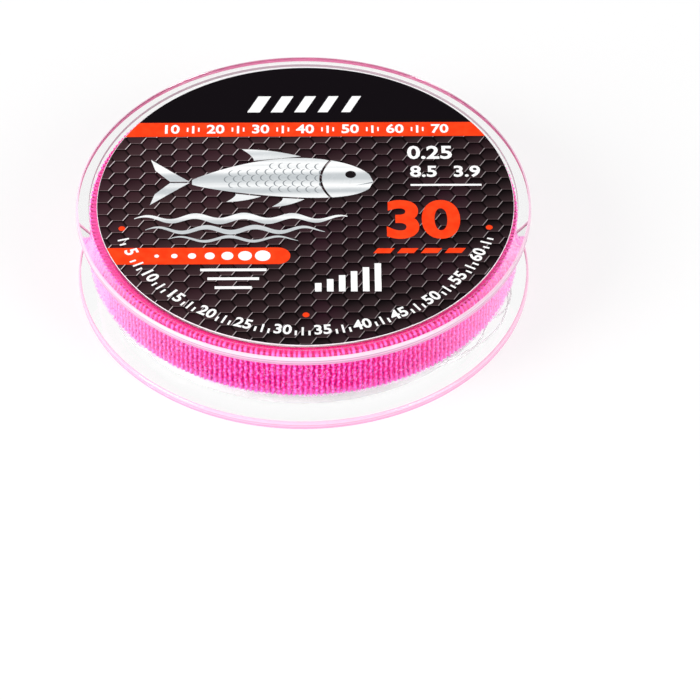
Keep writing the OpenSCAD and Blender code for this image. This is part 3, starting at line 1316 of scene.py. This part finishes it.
def filament_material():
    """Single filaments of the yarn, in two pale shades."""
    nodes = Finish("pink_filament", Roughness=0.6)
    shade = nodes.noise(nodes.place(), 400)
    base = nodes.mix(nodes.ramp(shade, 0.35, 0.65), srgb(255, 138, 236), srgb(255, 196, 250))
    nodes.paint(base)
    return nodes.material


def thread_material():
    """Bare elastic thread: matt, slightly yellow, with talc on it."""
    nodes = Finish("elastic_thread")
    talc = nodes.noise(nodes.place(), 1500, detail=3)
    base = nodes.mix(talc, srgb(222, 214, 200), srgb(240, 236, 230))
    nodes.paint(base)
    add_marks(nodes, scale=1800, low=0.5, high=0.75, relief=0.2)
    return nodes.material


knit = knit_material()
filament = filament_material()
thread = thread_material()
print("knit:", len(knit.node_tree.nodes), "nodes")

# %% [markdown]
# The ground of the print is a honeycomb. A plane splits into hexagons when every point
# goes to the nearest of two staggered grids of middles. Inside a cell, the distance
# towards each side then gives the thin light on two sides, the shadow under the upper
# ones, and a shade of its own from the place of its middle.

# %% Honeycomb
CELL_H = 2.37
CELL_STEP = CELL_H * math.sqrt(3) / 2
APOTHEM = CELL_H / 2


def honeycomb(nodes, place):
    """Splits a plane into flat-topped hexagons: the place in a cell, and its middle."""
    high = (CELL_STEP, CELL_H / 2, 1)
    low = (-CELL_STEP, -CELL_H / 2, -1)
    moved = nodes.vector("SUBTRACT", place, (CELL_STEP, CELL_H / 2, 0))
    straight, staggered = (nodes.vector("WRAP", plane, high, low) for plane in (place, moved))
    reaches = [nodes.vector("LENGTH", plane) for plane in (staggered, straight)]
    inside = nodes.mix_vector(nodes.math("LESS_THAN", *reaches), straight, staggered)
    return inside, nodes.vector("SUBTRACT", place, inside)


def towards(nodes, inside, degrees):
    """How far a point lies from its cell's middle in one direction."""
    a = math.radians(degrees)
    return nodes.vector("DOT_PRODUCT", inside, (math.cos(a), math.sin(a), 0))


# %% [markdown]
# The printed ground goes from a warm brown-black at the left to near black at the right,
# with clouds of wine red. Every cell varies a little, and the plain black cap covers the
# cells at the top. A satin laminate leaves hardly any mirror gloss.

# %% Printed ground
LAMINATE_GLOSS = 0.015


def print_material():
    """The printed ground: a honeycomb in near-black and wine, and a plain black cap above."""
    nodes = Finish("label_print", Specular_IOR_Level=LAMINATE_GLOSS)
    middle = nodes.vector("SUBTRACT", nodes.place(), tuple(label_centre))
    place = nodes.vector("MULTIPLY", middle, (1 / MM, 1 / MM, 0))
    inside, centre = honeycomb(nodes, place)

    slope = nodes.vector("DOT_PRODUCT", centre, (0.9, -0.35, 0))
    cell = nodes.mix(nodes.ramp(slope, -20, 12), srgb(56, 36, 39), srgb(17, 12, 14))
    wine = nodes.ramp(nodes.noise(place, 0.09, detail=1), 0.4, 0.65, 0.0, 0.5)
    cell = nodes.mix(wine, cell, srgb(50, 20, 34))
    chance = nodes.add("ShaderNodeTexWhiteNoise", noise_dimensions="3D")
    nodes.feed(chance.inputs["Vector"], nodes.vector("SNAP", centre, (0.5, 0.5, 0.5)))
    cell = nodes.mix(nodes.ramp(chance.outputs["Value"], 0, 1, 0.0, 0.45), cell, srgb(14, 11, 12))
    lit = nodes.ramp(towards(nodes, inside, -70), -APOTHEM, APOTHEM, 0.0, 0.3)
    cell = nodes.mix(lit, cell, srgb(88, 66, 70))

    upper = nodes.math("MAXIMUM", towards(nodes, inside, 90), towards(nodes, inside, 150))
    upper = nodes.math("MAXIMUM", upper, towards(nodes, inside, 30))
    shadow = nodes.ramp(upper, APOTHEM - 0.42, APOTHEM - 0.08, 0.0, 0.85)
    cell = nodes.mix(shadow, cell, srgb(6, 3, 4))
    dimming = nodes.ramp(slope, -22, 14, 1.0, 0.45)
    faint = nodes.ramp(towards(nodes, inside, -90), APOTHEM - 0.12, APOTHEM - 0.05)
    cell = nodes.mix(nodes.times(dimming, 0.8, faint), cell, srgb(126, 108, 110))
    bright = nodes.ramp(towards(nodes, inside, -30), APOTHEM - 0.13, APOTHEM - 0.065)
    cell = nodes.mix(nodes.times(bright, dimming), cell, srgb(214, 202, 204))

    cap = nodes.ramp(nodes.axes(place)["Y"], stripe_low - 0.02, stripe_low + 0.02)
    nodes.paint(nodes.mix(cap, cell, srgb(19, 15, 19)))
    add_marks(nodes, scale=500, low=0.34, high=0.46, relief=0.02)
    return nodes.material


label_print = print_material()
print("label print:", len(label_print.node_tree.nodes), "nodes")

# %% [markdown]
# The other inks are flat colours, and a solid ink always lies a little unevenly, so each
# goes between two close shades. The silver is brushed foil: its soft level bands of white
# and grey are painted reflections, with fine streaks along them, which a squeezed noise gives.

# %% Film and inks


def film_material():
    """The bare white film at the label's edge and back."""
    nodes = Finish("white_film")
    base = nodes.mix(nodes.noise(nodes.place(), 300), srgb(238, 234, 238), srgb(250, 246, 250))
    nodes.paint(base)
    add_marks(nodes, scale=600, low=0.35, high=0.5, relief=0.02)
    return nodes.material


def flat_ink(name, darker, lighter):
    """One printed colour, with the faint mottle of a solid ink."""
    nodes = Finish(name, Specular_IOR_Level=LAMINATE_GLOSS)
    mottle = nodes.ramp(nodes.noise(nodes.place(), 800, detail=3), 0.3, 0.7)
    nodes.paint(nodes.mix(mottle, darker, lighter))
    add_marks(nodes, scale=600, low=0.3, high=0.42, relief=0.02)
    return nodes.material


def silver_ink_material():
    """Brushed silver: painted reflections in soft level bands of white and grey, streaked along the
    bands.
    """
    nodes = Finish("silver_ink")
    place = nodes.place()
    streaks = nodes.noise(nodes.vector("MULTIPLY", place, (0.06, 1, 1)), 1900, detail=4)
    # Painted reflections: soft level bands of white and grey, as a brushed foil shows.
    bands = nodes.noise(nodes.vector("MULTIPLY", place, (0.02, 1, 1)), 330, detail=1)
    base = nodes.mix(nodes.ramp(bands, 0.38, 0.6), srgb(254, 255, 255), srgb(196, 201, 204))
    base = nodes.mix(nodes.ramp(streaks, 0.45, 0.75, 0.0, 0.3), base, srgb(172, 178, 182))
    nodes.paint(base)
    add_marks(nodes, scale=600, low=0.22, high=0.32, relief=0.02)
    return nodes.material


white_film = film_material()
ink_finishes = [
    silver_ink_material(),
    flat_ink("grey_ink", srgb(128, 134, 138), srgb(142, 148, 152)),
    flat_ink("black_ink", srgb(22, 18, 20), srgb(30, 25, 28)),
    flat_ink("white_ink", srgb(246, 246, 246), srgb(255, 255, 255)),
    flat_ink("orange_ink", srgb(246, 60, 22), srgb(252, 72, 30)),
]
print("materials:", len(bpy.data.materials))

# %% [markdown]
# ## Dressing
# Each piece gets its materials, the imported solid that it stands for and the body that it
# moves with. The table also names a slot for its finish, which nothing here uses. The
# elastic threads are shown as they were packed, so they only get their material.

# %% Dress the pieces
dressing = [
    (front_half, "front_half", BODY_SPOOL, "clear_plastic", [clear, rim_painted_glow]),
    (rear_half, "rear_half", BODY_SPOOL, "clear_plastic", [clear, rim_painted_glow]),
    (label, "front_label", BODY_SPOOL, "printed_film", [label_print, white_film]),
    (line_winding, "line_winding", BODY_SPOOL, "line", [line_material]),
    (elastic_band, "elastic_band", BODY_BAND, "band_knit", [knit]),
    (filament_fuzz, None, BODY_BAND, "band_knit", [filament]),
]
for ink, finish in zip(inks, ink_finishes):
    dressing.append((ink, None, BODY_SPOOL, "printed_film", [finish]))
for piece, node, body, slot, materials in dressing:
    places = [polygon.material_index for polygon in piece.data.polygons]
    piece.data.materials.clear()
    for material in materials:
        piece.data.materials.append(material)
    for polygon, index in zip(piece.data.polygons, places):
        polygon.material_index = index
    if node:
        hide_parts(node)
    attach(piece, body)

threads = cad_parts["elastic_threads"]
threads.data.materials.clear()
threads.data.materials.append(thread)
print("pieces dressed:", len(dressing) + 1)

# %% [markdown]
# ## Floor
# A product stands on white card that is lit from all round, so its shadow is soft and
# faint. Here the floor is part pale card, which takes the shadow, and part plain glow,
# which keeps it white. Through the clear plastic it is all glow.

# %% Floor
FLOOR_GLOW = 0.72
bm = bmesh.new()
bmesh.ops.create_circle(bm, cap_ends=True, segments=64, radius=2.0)
floor = finish_mesh(bm, "floor", smooth=False)
card = Finish("floor", Base_Color=(0.95, 0.95, 0.95, 1), Roughness=0.9)
rays = card.add("ShaderNodeLightPath").outputs
seen = card.math("MAXIMUM", rays["Is Camera Ray"], rays["Is Glossy Ray"])
glowing = card.math("MAXIMUM", card.times(seen, FLOOR_GLOW), rays["Is Transmission Ray"])
blend_in(card, glowing, card.add("ShaderNodeEmission"))
floor.data.materials.append(card.material)

# %% [markdown]
# ## Light
# The sky is white to the camera. It is dimmer as a light, and nearly dark in a mirror, so
# that gloss doesn't wash out the print. Through glass it is white low down and greyer
# overhead, which draws the edges of the clear plastic.

# %% Sky
SKY_LIGHT = 0.42
SKY_IN_GLOSS = 0.08
SKY_OVERHEAD = 0.3
world = bpy.data.worlds.new("world")
bpy.context.scene.world = world
world.use_nodes = True
sky = Nodes(world.node_tree)
background = world.node_tree.nodes["Background"]
background.inputs["Color"].default_value = (1, 1, 1, 1)
rays = sky.add("ShaderNodeLightPath").outputs
low_down = sky.ramp(sky.axes(sky.place())["Z"], 0.35, 0.7, 1.0, SKY_OVERHEAD)
seen = sky.math("MAXIMUM", rays["Is Camera Ray"], sky.times(rays["Is Transmission Ray"], low_down))
strength = sky.math("MULTIPLY_ADD", rays["Is Glossy Ray"], SKY_IN_GLOSS - SKY_LIGHT, SKY_LIGHT)
strength = sky.math("MULTIPLY_ADD", seen, 1 - SKY_LIGHT, strength)
sky.feed(background.inputs["Strength"], sky.math("MINIMUM", strength, 1.0))


# %% [markdown]
# Two soft boxes stand low to the left and right and graze the ribs of the knit from the
# sides, and a weak one hangs above. Large lamps give the soft shadows of a light tent.

# %% Lamps


def soft_box(name, place, size, power):
    """A round soft box that faces the spool."""
    lamp = bpy.data.lights.new(name, "AREA")
    lamp.shape = "DISK"
    lamp.size = size
    lamp.energy = power
    holder = add_object(name, lamp)
    holder.location = place
    holder.rotation_euler = (-Vector(place)).to_track_quat("-Z", "Y").to_euler()


soft_box("left_box", (-0.68, -0.3, 0.36), 0.5, 6.6)
soft_box("right_box", (0.62, -0.42, 0.36), 0.5, 4.6)
soft_box("top_box", (-0.1, 0.25, 0.8), 0.6, 0.5)
bpy.context.scene.view_settings.view_transform = "Standard"
print("lamps:", len(bpy.data.lights))
